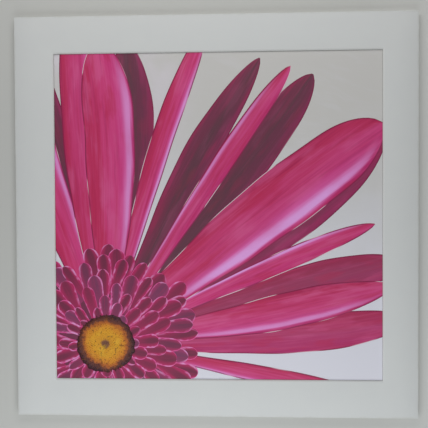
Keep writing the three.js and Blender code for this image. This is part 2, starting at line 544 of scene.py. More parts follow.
@dataclass(frozen=True)
class RayPaint:
    """Brushed petal paint: magenta petals in front and plum ones behind, told apart by an attribute."""

    name: str = "ray_paint"
    outline: Colour = pigment(104, 30, 60)
    halo: Colour = pigment(222, 200, 212)
    shine: Colour = pigment(204, 96, 166)
    shine_core: Colour = pigment(206, 146, 204)
    crimson: Colour = pigment(168, 40, 76)
    rose: Colour = pigment(192, 84, 132)
    deep: Colour = pigment(142, 34, 78)
    roughness: float = 0.5

    def front_ramp(self) -> list[tuple[float, Colour]]:
        """Colours across a front petal, from its left edge to its right."""
        return [
            (0.0, pigment(156, 38, 78)),
            (0.16, pigment(174, 46, 86)),
            (0.38, pigment(184, 56, 106)),
            (0.6, pigment(188, 62, 116)),
            (0.82, pigment(182, 50, 108)),
            (1.0, pigment(170, 44, 102)),
        ]

    def back_ramp(self) -> list[tuple[float, Colour]]:
        """Colours across a back petal, from its left edge to its right."""
        return [
            (0.0, pigment(128, 46, 76)),
            (0.22, pigment(104, 50, 70)),
            (0.5, pigment(88, 54, 66)),
            (0.78, pigment(100, 50, 70)),
            (1.0, pigment(126, 46, 80)),
        ]

    def shine_masks(self, w: Wiring, across: Socket, look: Socket) -> tuple[Socket, Socket]:
        """Works out the lit band that lies along one side of a petal.

        Args:
            w: The material's wiring.
            across: From -1 at the left edge to 1 at the right.
            look: The band's place, signed by its side.

        Returns:
            The band's wide mask and its narrow bright mask.
        """
        side = w.math("SIGN", look)
        beyond = w.minus(w.times(across, side), w.math("ABSOLUTE", look))
        wide = w.times(w.fade(beyond, -0.5, -0.05), w.fade(beyond, 0.2, 0.1))
        narrow = w.times(w.fade(beyond, -0.24, 0.0), w.fade(beyond, 0.16, 0.06))
        return wide, narrow

    def build(self) -> bpy.types.Material:
        """Builds the material."""
        material, w, shader = new_material(self.name)
        along, across, half = w.split(w.attribute("petal").outputs["Vector"])
        stroke = w.attribute("stroke").outputs["Vector"]
        look, shine, depth = w.split(w.attribute("look").outputs["Vector"])
        fine = w.group(Effect.BRUSH_STREAKS.tree, {"Stroke": stroke, "Hairs": 430.0, "Run": 13.0})
        broad = w.group(Effect.BRUSH_STREAKS.tree, {"Stroke": stroke, "Hairs": 110.0, "Run": 6.0})
        clouds = w.noise(w.combine(w.times(along, 3.4), across, w.split(stroke)[2]), 1.6, 3.0)

        wander = w.minus(broad.outputs["Height"], 0.5)
        place = w.plus(w.times(across, 0.5), w.plus(wander, 0.5))
        colour = w.mix(depth, w.ramp(place, self.front_ramp()), w.ramp(place, self.back_ramp()))

        # Washes, then single hairs of the brush, all weaker on the petals behind.
        front = w.minus(1.0, w.times(depth, 0.8))
        washes = (
            (w.fade(clouds, 0.5, 0.68), 0.5, self.rose),
            (w.fade(clouds, 0.46, 0.32), 0.6, self.crimson),
            (broad.outputs["Dark"], 0.35, self.crimson),
            (fine.outputs["Dark"], 0.3, self.deep),
            (fine.outputs["Light"], 0.34, self.rose),
        )
        for mask, share, tint in washes:
            colour = w.mix(w.times(mask, w.times(front, share)), colour, tint)

        # A soft lit band lies along one side and fades at both ends.
        wavy = w.plus(across, w.times(wander, 0.3))
        wide, narrow = self.shine_masks(w, wavy, look)
        ends = w.times(w.fade(along, 0.0, 0.3, 0.5, 1.0), w.fade(along, 1.0, 0.7))
        strength = w.times(w.times(shine, ends), w.fade(clouds, 0.25, 0.6, 0.65, 1.0))
        colour = w.mix(w.times(wide, w.times(strength, 0.8)), colour, self.shine)
        colour = w.mix(w.times(narrow, strength), colour, self.shine_core)

        # A fine dark line follows most of the edge, and a pale one some of it.
        from_edge = w.times(w.minus(1.0, w.math("ABSOLUTE", across)), half)
        broken = w.noise(stroke, 14.0, 1.0)
        dark = w.times(w.fade(from_edge, 0.0024, 0.0008), w.fade(broken, 0.66, 0.5))
        pale = w.times(w.fade(from_edge, 0.0012, 0.0006), w.fade(broken, 0.56, 0.64))
        colour = w.mix(w.times(dark, 0.7), colour, self.outline)
        colour = w.mix(w.times(pale, w.times(front, 0.8)), colour, self.halo)

        sheen = w.fade(fine.outputs["Height"], 0.3, 0.7, self.roughness + 0.1, self.roughness - 0.06)
        weave = w.group(Effect.CANVAS_WEAVE.tree, {"Vector": w.place()})
        cloth = w.bump(weave.outputs["Height"], 0.05 * MM, 0.35)
        w.coat(shader, colour, sheen, PAINT_GLOSS, w.bump(fine.outputs["Height"], HAIR_DEPTH, 0.5, cloth))
        return material


@dataclass(frozen=True)
class FloretPaint:
    """Small dark petals with a pale pink rim."""

    name: str = "floret_paint"
    heart: Colour = pigment(100, 42, 64)
    crimson: Colour = pigment(156, 40, 84)
    violet: Colour = pigment(118, 62, 98)
    rim: Colour = pigment(202, 80, 142)
    bright_rim: Colour = pigment(220, 138, 188)

    def build(self) -> bpy.types.Material:
        """Builds the material."""
        material, w, shader = new_material(self.name)
        along, across, share = w.split(w.attribute("petal").outputs["Vector"])
        width, seed, _ = w.split(w.attribute("floret").outputs["Vector"])
        stroke = w.combine(w.times(along, 0.04), w.times(across, 0.008), seed)
        streaks = w.group(Effect.BRUSH_STREAKS.tree, {"Stroke": stroke, "Hairs": 520.0, "Run": 30.0})
        chance = w.noise(w.combine(w.times(seed, 7.3), 0.0, 0.0), 5.0, 0.0)
        inward = w.minus(1.0, w.math("ABSOLUTE", across))

        # The heart of each floret is dark, most of all near its tip, and some florets turn violet.
        unevenly = w.times(w.minus(streaks.outputs["Height"], 0.5), 0.8)
        spread = w.plus(inward, unevenly)
        depth = w.times(w.fade(spread, 0.15, 0.75), w.fade(along, 0.25, 0.75, 0.55, 1.0))
        colour = w.mix(w.times(depth, w.fade(chance, 0.3, 0.6, 0.7, 1.0)), self.crimson, self.heart)
        colour = w.mix(w.times(w.fade(chance, 0.54, 0.64), 0.55), colour, self.violet)
        colour = w.mix(w.times(streaks.outputs["Light"], 0.3), colour, self.crimson)

        # The rim is a soft pink line, broken and uneven, that fades towards the base.
        from_edge = w.times(w.times(inward, share), width)
        uneven = w.noise(w.combine(w.times(along, 3.0), across, w.times(seed, 11.0)), 2.0, 1.0)
        reach = w.fade(uneven, 0.3, 0.7, 0.0012, 0.0042)
        line = w.fade(from_edge, reach, w.times(reach, 0.25))
        rim = w.times(line, w.fade(along, 0.1, 0.5, 0.3, 1.0))
        rim_colour = w.mix(w.fade(uneven, 0.44, 0.68), self.rim, self.bright_rim)
        faint = w.noise(w.combine(w.times(seed, 3.1), 1.0, 0.0), 5.0, 0.0)
        colour = w.mix(w.times(rim, w.fade(faint, 0.35, 0.6, 0.55, 0.92)), colour, rim_colour)
        w.coat(shader, colour, 0.52, PAINT_GLOSS, w.bump(streaks.outputs["Height"], HAIR_DEPTH, 0.5))
        return material


@dataclass(frozen=True)
class EyePaint:
    """The flower's eye: ochre dabs, browner towards a ragged dark ring, round a small brown heart."""

    centre: tuple[float, float]
    radius: float
    name: str = "eye_paint"

    def build(self) -> bpy.types.Material:
        """Builds the material."""
        material, w, shader = new_material(self.name)
        middle = w.vector_math("SUBTRACT", w.place(), (self.centre[0], 0.0, self.centre[1])).outputs[0]
        flat = w.vector_math("MULTIPLY", middle, (1.0, 0.0, 1.0)).outputs[0]
        out = w.math("DIVIDE", w.vector_math("LENGTH", flat).outputs["Value"], self.radius)
        ragged = w.times(w.minus(w.noise(flat, 170.0, 3.0, 0.7), 0.5), 0.34)
        uneven = w.times(w.minus(w.noise(flat, 30.0, 1.0), 0.5), 0.4)
        ring = w.plus(w.plus(out, ragged), uneven)
        stops = [
            (0.0, pigment(172, 114, 40)),
            (0.2, pigment(190, 132, 36)),
            (0.42, pigment(194, 138, 36)),
            (0.62, pigment(188, 122, 36)),
            (0.76, pigment(160, 88, 38)),
            (0.85, pigment(92, 50, 42)),
            (1.0, pigment(66, 40, 46)),
        ]
        colour = w.ramp(ring, stops)
        heart = w.fade(w.plus(out, w.times(ragged, 0.5)), 0.19, 0.1)
        colour = w.mix(w.times(heart, 0.9), colour, pigment(98, 64, 56))
        patchy = w.fade(w.noise(flat, 60.0, 1.0), 0.4, 0.58)
        coarse = w.times(w.fade(w.noise(flat, 230.0, 1.0, 0.5), 0.57, 0.66), patchy)
        fine = w.fade(w.noise(flat, 360.0, 1.0, 0.5), 0.64, 0.72)
        speckle = w.math("MAXIMUM", coarse, fine)
        colour = w.mix(w.times(speckle, 0.7), colour, pigment(104, 62, 38))
        glow = w.fade(w.noise(flat, 90.0, 2.0, 0.5), 0.5, 0.7)
        lit = w.times(glow, w.fade(out, 0.75, 0.4))
        colour = w.mix(w.times(lit, 0.4), colour, pigment(214, 164, 52))
        w.coat(shader, colour, w.fade(speckle, 0.0, 1.0, 0.5, 0.62), 0.35)
        return material


@dataclass(frozen=True)
class GroundWash:
    """The canvas: a thin wash over white primer, warm grey at the top right and lilac-white low down."""

    name: str = "ground_wash"
    warm_grey: Colour = pigment(180, 178, 176)
    cool_grey: Colour = pigment(188, 187, 191)
    lilac: Colour = pigment(196, 195, 205)
    rose: Colour = pigment(196, 189, 199)

    def build(self) -> bpy.types.Material:
        """Builds the material."""
        material, w, shader = new_material(self.name)
        place = w.place()
        x, _, z = w.split(place)
        swirls = w.node("ShaderNodeTexNoise", {"Vector": place, "Scale": 9.0})
        swirl = w.vector_math("SCALE", swirls.outputs["Color"])
        swirl.inputs["Scale"].default_value = 0.05
        bent = w.split(w.vector_math("ADD", place, swirl.outputs[0]).outputs[0])
        strokes = w.combine(bent[0], w.plus(bent[2], w.times(bent[0], 0.4)), 0.4)
        brush = w.group(Effect.BRUSH_STREAKS.tree, {"Stroke": strokes, "Hairs": 60.0, "Run": 16.0})
        patches = w.group(Effect.SOFT_MOTTLE.tree, {"Vector": place, "Scale": 5.0})
        lift = w.times(w.minus(patches.outputs["Value"], 0.5), 0.12)
        height = w.plus(z, lift)
        colour = w.mix(w.fade(height, 0.16, -0.02), self.warm_grey, self.cool_grey)
        colour = w.mix(w.fade(height, 0.02, -0.14), colour, self.lilac)
        leftward = w.times(w.fade(x, 0.0, -0.1), w.fade(patches.outputs["Value"], 0.2, 0.8))
        colour = w.mix(w.times(leftward, 0.6), colour, self.rose)
        colour = w.mix(w.times(brush.outputs["Light"], 0.12), colour, self.lilac)
        weave = w.group(Effect.CANVAS_WEAVE.tree, {"Vector": place})
        cloth = w.bump(weave.outputs["Height"], 0.08 * MM, 0.5)
        w.coat(shader, colour, 0.7, PAINT_GLOSS, w.bump(brush.outputs["Height"], 0.08 * MM, 0.4, cloth))
        return material


# ---- Board, tape and plastic finishes ----


@dataclass(frozen=True)
class BoardFinish:
    """A paper or pulp surface, mottled a little, with a fine tooth."""

    name: str
    colour: Colour
    shade: Colour
    grain: float = 900.0
    roughness: float = 0.85

    def build(self) -> bpy.types.Material:
        """Builds the material."""
        material, w, shader = new_material(self.name)
        tooth = w.group(Effect.PAPER_TOOTH.tree, {"Vector": w.place(), "Grain": self.grain})
        colour = w.mix(w.fade(tooth.outputs["Tone"], 0.35, 0.65), self.shade, self.colour)
        w.coat(shader, colour, self.roughness, 0.25, w.bump(tooth.outputs["Height"], 0.03 * MM, 0.4))
        return material


@dataclass(frozen=True)
class MatFace:
    """The mat's smooth white face, a little greyer towards its handled outer edges."""

    half_side: float
    name: str = "mat_face"
    colour: Colour = (0.795, 0.806, 0.802, 1.0)
    shade: Colour = (0.785, 0.796, 0.796, 1.0)
    worn: Colour = (0.70, 0.70, 0.68, 1.0)
    worn_width: float = 3.5 * MM

    def build(self) -> bpy.types.Material:
        """Builds the material."""
        material, w, shader = new_material(self.name)
        place = w.place()
        x, _, z = w.split(place)
        tooth = w.group(Effect.PAPER_TOOTH.tree, {"Vector": place, "Grain": 1100.0})
        colour = w.mix(w.fade(tooth.outputs["Tone"], 0.35, 0.65), self.shade, self.colour)
        reach = w.math("MAXIMUM", w.math("ABSOLUTE", x), w.math("ABSOLUTE", z))
        from_edge = w.minus(self.half_side, reach)
        marks = w.group(Effect.SOFT_MOTTLE.tree, {"Vector": place, "Scale": 60.0})
        wear = w.times(w.fade(from_edge, self.worn_width, 0.0), marks.outputs["Value"])
        colour = w.mix(w.times(wear, 0.7), colour, self.worn)
        w.coat(shader, colour, 0.82, 0.25, w.bump(tooth.outputs["Height"], 0.02 * MM, 0.35))
        return material


@dataclass(frozen=True)
class PlyEdge:
    """A cut board edge: fine layers stacked along Y, over a greyer backing paper that is drawn dark enough to paint
    the shade line at a bevel's foot.
    """

    name: str
    colour: Colour
    line: Colour
    ply: float
    back: float = 0.0  # the Y of the board's back
    paper: float = 0.0  # how thick the backing paper's band is, which also paints the shade line at the bevel's foot
    # The backing paper drawn dark grey, so that it also paints the shade at the bevel's foot.
    back_paper_and_shade_colour: Colour = (0.36, 0.36, 0.34, 1.0)

    def build(self) -> bpy.types.Material:
        """Builds the material."""
        material, w, shader = new_material(self.name)
        place = w.place()
        depth = w.split(place)[1]
        fuzz = w.times(w.minus(w.noise(place, 900.0, 3.0), 0.5), 0.6)
        level = w.plus(w.math("DIVIDE", depth, self.ply), fuzz)
        seam = w.math("ABSOLUTE", w.minus(w.math("FRACT", level), 0.5))
        colour = w.mix(w.fade(seam, 0.4, 0.5), self.colour, self.line)
        # Painted shade: the back band is the backing paper, darkened to stand for the shade line where the bevel meets
        # the canvas.
        if self.paper:
            back_paper_and_shade = w.fade(depth, self.back - 1.15 * self.paper, self.back - 0.85 * self.paper)
            colour = w.mix(back_paper_and_shade, colour, self.back_paper_and_shade_colour)
        w.coat(shader, colour, 0.9, normal=w.bump(w.noise(place, 1600.0, 3.0), 0.05 * MM, 0.6))
        return material


@dataclass(frozen=True)
class FoamCore:
    """Cut plastic foam: small closed cells, with painted shade in the grooves between them."""

    name: str = "foam_core"
    colour: Colour = (0.86, 0.87, 0.86, 1.0)
    pit: Colour = (0.66, 0.67, 0.66, 1.0)
    cells: float = 1400.0

    def build(self) -> bpy.types.Material:
        """Builds the material."""
        material, w, shader = new_material(self.name)
        cells = w.node("ShaderNodeTexVoronoi", {"Vector": w.place(), "Scale": self.cells}).outputs["Distance"]
        # Painted shade: the colour darkens into the grooves between the cells.
        colour = w.mix(w.fade(cells, 0.25, 0.75), self.colour, self.pit)
        w.coat(shader, colour, 0.75, normal=w.bump(w.minus(1.0, cells), 0.2 * MM, 0.5))
        return material


@dataclass(frozen=True)
class SmoothPlastic:
    """Moulded plastic or adhesive film, with a faint haze of handling."""

    name: str
    colour: Colour
    haze: Colour
    roughness: float

    def build(self) -> bpy.types.Material:
        """Builds the material."""
        material, w, shader = new_material(self.name)
        patches = w.group(Effect.SOFT_MOTTLE.tree, {"Vector": w.place(), "Scale": 140.0})
        value = patches.outputs["Value"]
        roughness = w.fade(value, 0.0, 1.0, self.roughness - 0.06, self.roughness + 0.08)
        normal = w.bump(w.noise(w.place(), 700.0, 2.0), 0.02 * MM, 0.3)
        w.coat(shader, w.mix(value, self.colour, self.haze), roughness, normal=normal)
        return material


@dataclass(frozen=True)
class StagePaint:
    """A wall or floor that shows from its front only, so that views from behind see the picture's back. Towards its
    right it takes another colour: on the wall a paler one, as painted light.
    """

    name: str
    colour: Colour
    shade: Colour
    right: Colour

    def build(self) -> bpy.types.Material:
        """Builds the material."""
        material, w, shader = new_material(self.name)
        place = w.place()
        patches = w.group(Effect.SOFT_MOTTLE.tree, {"Vector": place, "Scale": 1.5})
        mottled = w.mix(patches.outputs["Value"], self.shade, self.colour)
        # Painted light: the colour eases into the right-hand colour beyond x = 0.2, which makes the wall paler on its
        # right.
        colour = w.mix(w.fade(w.split(place)[0], 0.2, 0.34), mottled, self.right)
        w.coat(shader, colour, 0.9, 0.2, w.bump(w.noise(place, 260.0, 3.0), 0.2 * MM, 0.15))
        clear = w.node("ShaderNodeBsdfTransparent")
        behind = w.node("ShaderNodeNewGeometry").outputs["Backfacing"]
        shadow = w.node("ShaderNodeLightPath").outputs["Is Shadow Ray"]
        unseen = w.math("MAXIMUM", behind, shadow)
        one_sided = w.node("ShaderNodeMixShader", {0: unseen, 1: shader.outputs[0], 2: clear.outputs[0]})
        output = next(node for node in material.node_tree.nodes if node.type == "OUTPUT_MATERIAL")
        w.feed(output.inputs["Surface"], one_sided.outputs[0])
        return material


# ---- Mesh helpers ----


@dataclass(frozen=True)
class Rect:
    """An upright rectangle in the picture's plane."""

    left: float
    right: float
    bottom: float
    top: float

    @classmethod
    def of_node(cls, node: str) -> Rect:
        """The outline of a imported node, seen from the front."""
        low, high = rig.box(node)
        return cls(low.x, high.x, low.z, high.z)

    def grown(self, by: float) -> Rect:
        """The rectangle with every side moved out."""
        return Rect(self.left - by, self.right + by, self.bottom - by, self.top + by)


def new_object(name: str, mesh: bpy.types.Mesh, *materials: bpy.types.Material) -> bpy.types.Object:
    """Links a new object for a mesh.

    Args:
        name: The object's name.
        mesh: Its mesh.
        *materials: Finishes for its slots, or none to leave the mesh's own.

    Returns:
        The object, at the origin.
    """
    made = bpy.data.objects.new(name, mesh)
    bpy.context.scene.collection.objects.link(made)
    for material in materials:
        mesh.materials.append(material)
    return made


def to_mesh(bm: bmesh.types.BMesh, name: str) -> bpy.types.Mesh:
    """Writes a bmesh to a new mesh and frees it."""
    mesh = bpy.data.meshes.new(name)
    bm.to_mesh(mesh)
    bm.free()
    return mesh


def clip_to(bm: bmesh.types.BMesh, area: Rect) -> None:
    """Cuts flat work off at a rectangle's sides and closes the cuts.

    Args:
        bm: Closed films in flat coordinates.
        area: What is kept.
    """
    sides = [
        ((area.left, 0, 0), (-1, 0, 0)),
        ((area.right, 0, 0), (1, 0, 0)),
        ((0, area.bottom, 0), (0, -1, 0)),
        ((0, area.top, 0), (0, 1, 0)),
    ]
    for point, outward in sides:
        geometry = [*bm.verts, *bm.edges, *bm.faces]
        plane = {"plane_co": point, "plane_no": outward}
        cut = bmesh.ops.bisect_plane(bm, geom=geometry, dist=1e-7, clear_outer=True, **plane)
        edges = [item for item in cut["geom_cut"] if isinstance(item, bmesh.types.BMEdge)]
        open_edges = [edge for edge in edges if edge.is_boundary]
        if open_edges:
            bmesh.ops.holes_fill(bm, edges=open_edges, sides=0)


def refined(node: str, rounding: float) -> bmesh.types.BMesh:
    """Copies a packed board with its triangles merged and its edges softened.

    Args:
        node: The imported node.
        rounding: How far each sharp edge is rounded over.

    Returns:
        The bmesh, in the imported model's frame.
    """
    bm = bmesh.new()
    bm.from_mesh(bpy.data.objects[node].data)
    bmesh.ops.remove_doubles(bm, verts=bm.verts, dist=1e-6)
    bmesh.ops.dissolve_limit(bm, angle_limit=math.radians(1), verts=bm.verts, edges=bm.edges)
    sharp = [edge for edge in bm.edges if edge.calc_face_angle(0.0) > math.radians(20)]
    settings = {"segments": 2, "profile": 0.5, "affect": "EDGES", "clamp_overlap": True}
    bmesh.ops.bevel(bm, geom=sharp, offset=rounding, **settings)
    return bm


def rule_values(owner: object, labels: Iterable[str]) -> dict[str, Any]:
    """Reads what a rule's inputs take from an object's fields: inner_tip for Inner Tip."""
    return {label: getattr(owner, label.lower().replace(" ", "_")) for label in labels}


def bake_nodes(source: bpy.types.Object, tree: bpy.types.NodeTree, values: dict[str, Any]) -> bpy.types.Mesh:
    """Runs a geometry tree on an object and keeps its result as a plain mesh.

    Args:
        source: The object whose mesh goes in. It is removed.
        tree: The geometry tree.
        values: The tree's inputs by name.

    Returns:
        The finished mesh.
    """
    modifier = source.modifiers.new("rule", "NODES")
    modifier.node_group = tree
    for item in tree.interface.items_tree:
        if item.item_type == "SOCKET" and item.in_out == "INPUT" and item.name in values:
            modifier[item.identifier] = values[item.name]
    bpy.context.view_layer.update()
    graph = bpy.context.evaluated_depsgraph_get()
    mesh = bpy.data.meshes.new_from_object(source.evaluated_get(graph))
    source.modifiers.remove(modifier)
    bpy.data.objects.remove(source)
    return mesh


def keep(piece: bpy.types.Object, slot: str, *nodes: str) -> None:
    """Fixes a finished piece to the picture.

    Args:
        piece: The piece.
        slot: The record's material slot.
        *nodes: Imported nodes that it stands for.
    """
    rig.ride(piece, "root")
    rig.slot(piece, slot)
    if nodes:
        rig.replaces(piece, *nodes)
    log.info("%s: %d faces", piece.name, len(piece.data.polygons))


# ---- The painted flower ----


Row = list[tuple[Vector, dict[str, Vector]]]  # a film's places and attributes, from left to right


@dataclass
class FilmSheet:
    """Closed films of paint gathered into one mesh, with the attributes that the paint reads."""

    floor: float = -0.05 * MM
    vertices: list[Vector] = field(default_factory=list)
    faces: list[list[int]] = field(default_factory=list)
    attributes: dict[str, list[Vector]] = field(default_factory=dict)

    def vertex(self, place: Vector, marks: dict[str, Vector]) -> int:
        """Adds a vertex with its attributes and returns its number."""
        self.vertices.append(place)
        for name, value in marks.items():
            self.attributes.setdefault(name, []).append(value)
        return len(self.vertices) - 1

    def film(self, top: Sequence[Row]) -> None:
        """Adds one film from the rows of its top surface.

        Args:
            top: Rows from base to tip, each a list of places and attributes from left to right.
        """
        rows = [[self.vertex(place, marks) for place, marks in row] for row in top]
        feet = []
        for row in top:
            ends = (row[0], row[-1])
            feet.append([self.vertex(Vector((p.x, p.y, self.floor)), marks) for p, marks in ends])
        for lower, upper, foot, next_foot in zip(rows, rows[1:], feet, feet[1:]):
            for j in range(len(lower) - 1):
                self.faces.append([lower[j], lower[j + 1], upper[j + 1], upper[j]])
            self.faces.append([lower[0], upper[0], next_foot[0], foot[0]])
            self.faces.append([upper[-1], lower[-1], foot[1], next_foot[1]])
            self.faces.append([foot[0], next_foot[0], next_foot[1], foot[1]])
        self.faces.append([*rows[0], feet[0][1], feet[0][0]])
        self.faces.append([*reversed(rows[-1]), feet[-1][0], feet[-1][1]])

    def mesh(self, name: str) -> bpy.types.Mesh:
        """Writes the films to a mesh with their attributes."""
        mesh = bpy.data.meshes.new(name)
        mesh.from_pydata([tuple(place) for place in self.vertices], [], self.faces)
        for label, values in self.attributes.items():
            layer = mesh.attributes.new(label, "FLOAT_VECTOR", "POINT")
            layer.data.foreach_set("vector", [number for value in values for number in value])
        return mesh


def finished_film(mesh: bpy.types.Mesh, name: str, area: Rect, canvas_front: float) -> bpy.types.Mesh:
    """Clips flat films to the canvas, stands them up and smooths their tops.

    Args:
        mesh: Films in flat coordinates, measured out from the canvas.
        name: The new mesh's name.
        area: The canvas's face.
        canvas_front: The canvas's Y.

    Returns:
        The finished mesh.
    """
    bm = bmesh.new()
    bm.from_mesh(mesh)
    clip_to(bm, area)
    bmesh.ops.recalc_face_normals(bm, faces=bm.faces)
    bm.transform(Matrix.Translation((0, canvas_front, 0)) @ STAND_UP)
    for face in bm.faces:
        face.smooth = True
    for edge in bm.edges:
        edge.smooth = edge.calc_face_angle(0.0) < math.radians(50)
    return to_mesh(bm, name)


@dataclass(frozen=True)
class Ray:
    """One long petal, laid out from the flower's centre."""

    angle: float  # degrees from +X at the base
    reach: float  # tip from the centre
    width: float
    bend: float  # degrees that it turns from base to tip
    lean: float  # how much fuller its right side is than its left
    blunt: float  # 1.6 for a pointed tip to 3.5 for a round one
    level: float  # height of its paint over the canvas
    shine_place: float  # where the lit band lies, from -1 to 1
    shine: float
    depth: float  # 0 in front, 1 in the shade behind
    seed: float
    base: float = 0.095  # where it starts, from the centre, under the florets
    waist: float = 0.5  # its width at the base as a share of its widest
    belly: float = 0.62  # where it is widest, as a share of its length
    rows: int = 64
    columns: int = 18

    def half_width(self, along: float, side: float) -> float:
        """Half the petal's width at a share of its length, to its left (-1) or right (1)."""
        if along < self.belly:
            share = self.waist + (1 - self.waist) * math.sin(0.5 * math.pi * along / self.belly) ** 1.2
        else:
            share = (1 - ((along - self.belly) / (1 - self.belly)) ** self.blunt) ** 0.6
        long_wave = 0.03 * math.sin(9 * along + self.seed + side)
        ripple = long_wave + 0.015 * math.sin(24 * along + 2.7 * self.seed)
        fuller = 1 + self.lean * side * math.sin(math.pi * along)
        return max(0.5 * self.width * share * fuller * (1 + ripple), 0.0004)

    def lay(self, sheet: FilmSheet, centre: Vector) -> None:
        """Adds the petal's film to a sheet.

        Args:
            sheet: The sheet of films.
            centre: The flower's centre in flat coordinates.
        """
        length = self.reach - self.base
        step = length / self.rows
        heading = math.radians(self.angle)
        spine = centre + self.base * Vector((math.cos(heading), math.sin(heading), 0))
        top = []
        for i in range(self.rows + 1):
            along = min(i / self.rows, 0.999)
            turn = heading + math.radians(self.bend) * along**1.4
            ahead = Vector((math.cos(turn), math.sin(turn), 0))
            top.append(self.row(along, spine, ahead, along * length))
            spine = spine + ahead * step
        sheet.film(top)

    def row(self, along: float, spine: Vector, ahead: Vector, run: float) -> Row:
        """Works out one row of the petal's top surface.

        Args:
            along: The row's share of the petal's length.
            spine: The row's middle.
            ahead: The way that the petal runs here.
            run: The row's distance from the base.

        Returns:
            The row's places and attributes from left to right.
        """
        right = Vector((ahead.y, -ahead.x, 0))
        rise = self.level * (0.3 + 0.7 * min(1.0, run / 0.05))
        row = []
        for j in range(self.columns + 1):
            across = math.sin(0.5 * math.pi * (2 * j / self.columns - 1))
            half = self.half_width(along, 1 if across > 0 else -1)
            offset = across * half
            rib = noise.noise(Vector((run * 6, offset * 240, self.seed)))
            edge = min(1.0, (1 - abs(across)) * 6)
            place = spine + right * offset
            place.z = rise * (0.8 + 0.2 * edge) + 0.018 * MM * rib * edge
            marks = {
                "petal": Vector((along, across, half)),
                "stroke": Vector((run, offset, self.seed)),
                "look": Vector((self.shine_place, self.shine, self.depth)),
            }
            row.append((place, marks))
        return row


@dataclass
class RayFan:
    """The long petals: a plum row behind and a magenta row in front, fanned by rule with some chance."""

    centre: tuple[float, float]
    front_count: int = 9
    back_count: int = 8
    first_angle: float = 112.0
    step_angle: float = 11.2
    step_growth: float = 0.045  # the fan opens out as it turns to the right
    reach: float = 0.5
    front_width: float = 0.076
    front_sizes: tuple[float, ...] = (0.4, 0.72, 0.95, 1.1, 1.3)  # shares of that width
    back_width: float = 0.063
    back_levels: tuple[float, float] = (0.1 * MM, 0.18 * MM)
    front_levels: tuple[float, float, float] = (0.27 * MM, 0.36 * MM, 0.45 * MM)
    seed: int = 11

    def angle(self, place: float) -> float:
        """The angle of a place in the fan, counted in petals from the first."""
        return self.first_angle - self.step_angle * (place + self.step_growth * place * place)

    def rays(self) -> tuple[list[Ray], list[Ray]]:
        """Lays out both rows by rule.

        Returns:
            The back petals and the front petals.
        """
        chance = random.Random(self.seed)
        back, front = [], []
        for i in range(self.back_count):
            angle = self.angle(i + 0.5)
            back.append(
                Ray(
                    angle=angle + chance.uniform(-3, 3),
                    reach=self.reach * chance.uniform(0.9, 1.04),
                    width=self.back_width * chance.uniform(0.75, 1.2),
                    bend=chance.uniform(-12, 12),
                    lean=chance.uniform(-0.2, 0.2),
                    blunt=chance.uniform(1.7, 3.0),
                    level=self.back_levels[i % 2],
                    shine_place=0.0,
                    shine=0.0,
                    depth=min(1.0, 0.35 + max(0.0, angle) / 75),
                    seed=chance.uniform(0, 50),
                )
            )
        for i in range(self.front_count):
            angle = self.angle(i)
            front.append(
                Ray(
                    angle=angle + chance.uniform(-3.5, 3.5),
                    reach=self.reach * chance.uniform(0.86, 1.08),
                    width=self.front_width * chance.choice(self.front_sizes) * chance.uniform(0.9, 1.1),
                    bend=chance.uniform(-13, 13),
                    lean=chance.uniform(-0.25, 0.25),
                    blunt=chance.uniform(1.7, 3.2),
                    level=self.front_levels[i % 3],
                    shine_place=chance.choice((0.78, 0.72, 0.8, -0.76)),
                    shine=chance.choice((0.25, 0.6, 0.85, 1.0)),
                    depth=chance.uniform(0.0, 0.1),
                    seed=chance.uniform(0, 50),
                )
            )
        return back, front

    def build(self, area: Rect, canvas_front: float) -> None:
        """Paints both rows.

        Args:
            area: The canvas's face.
            canvas_front: The canvas's Y.
        """
        paint = RayPaint().build()
        for name, rays in zip(("back_petals", "front_petals"), self.rays()):
            sheet = FilmSheet()
            for ray in rays:
                ray.lay(sheet, Vector((*self.centre, 0)))
            mesh = finished_film(sheet.mesh(name), name, area, canvas_front)
            keep(new_object(name, mesh, paint), "flower_paint")


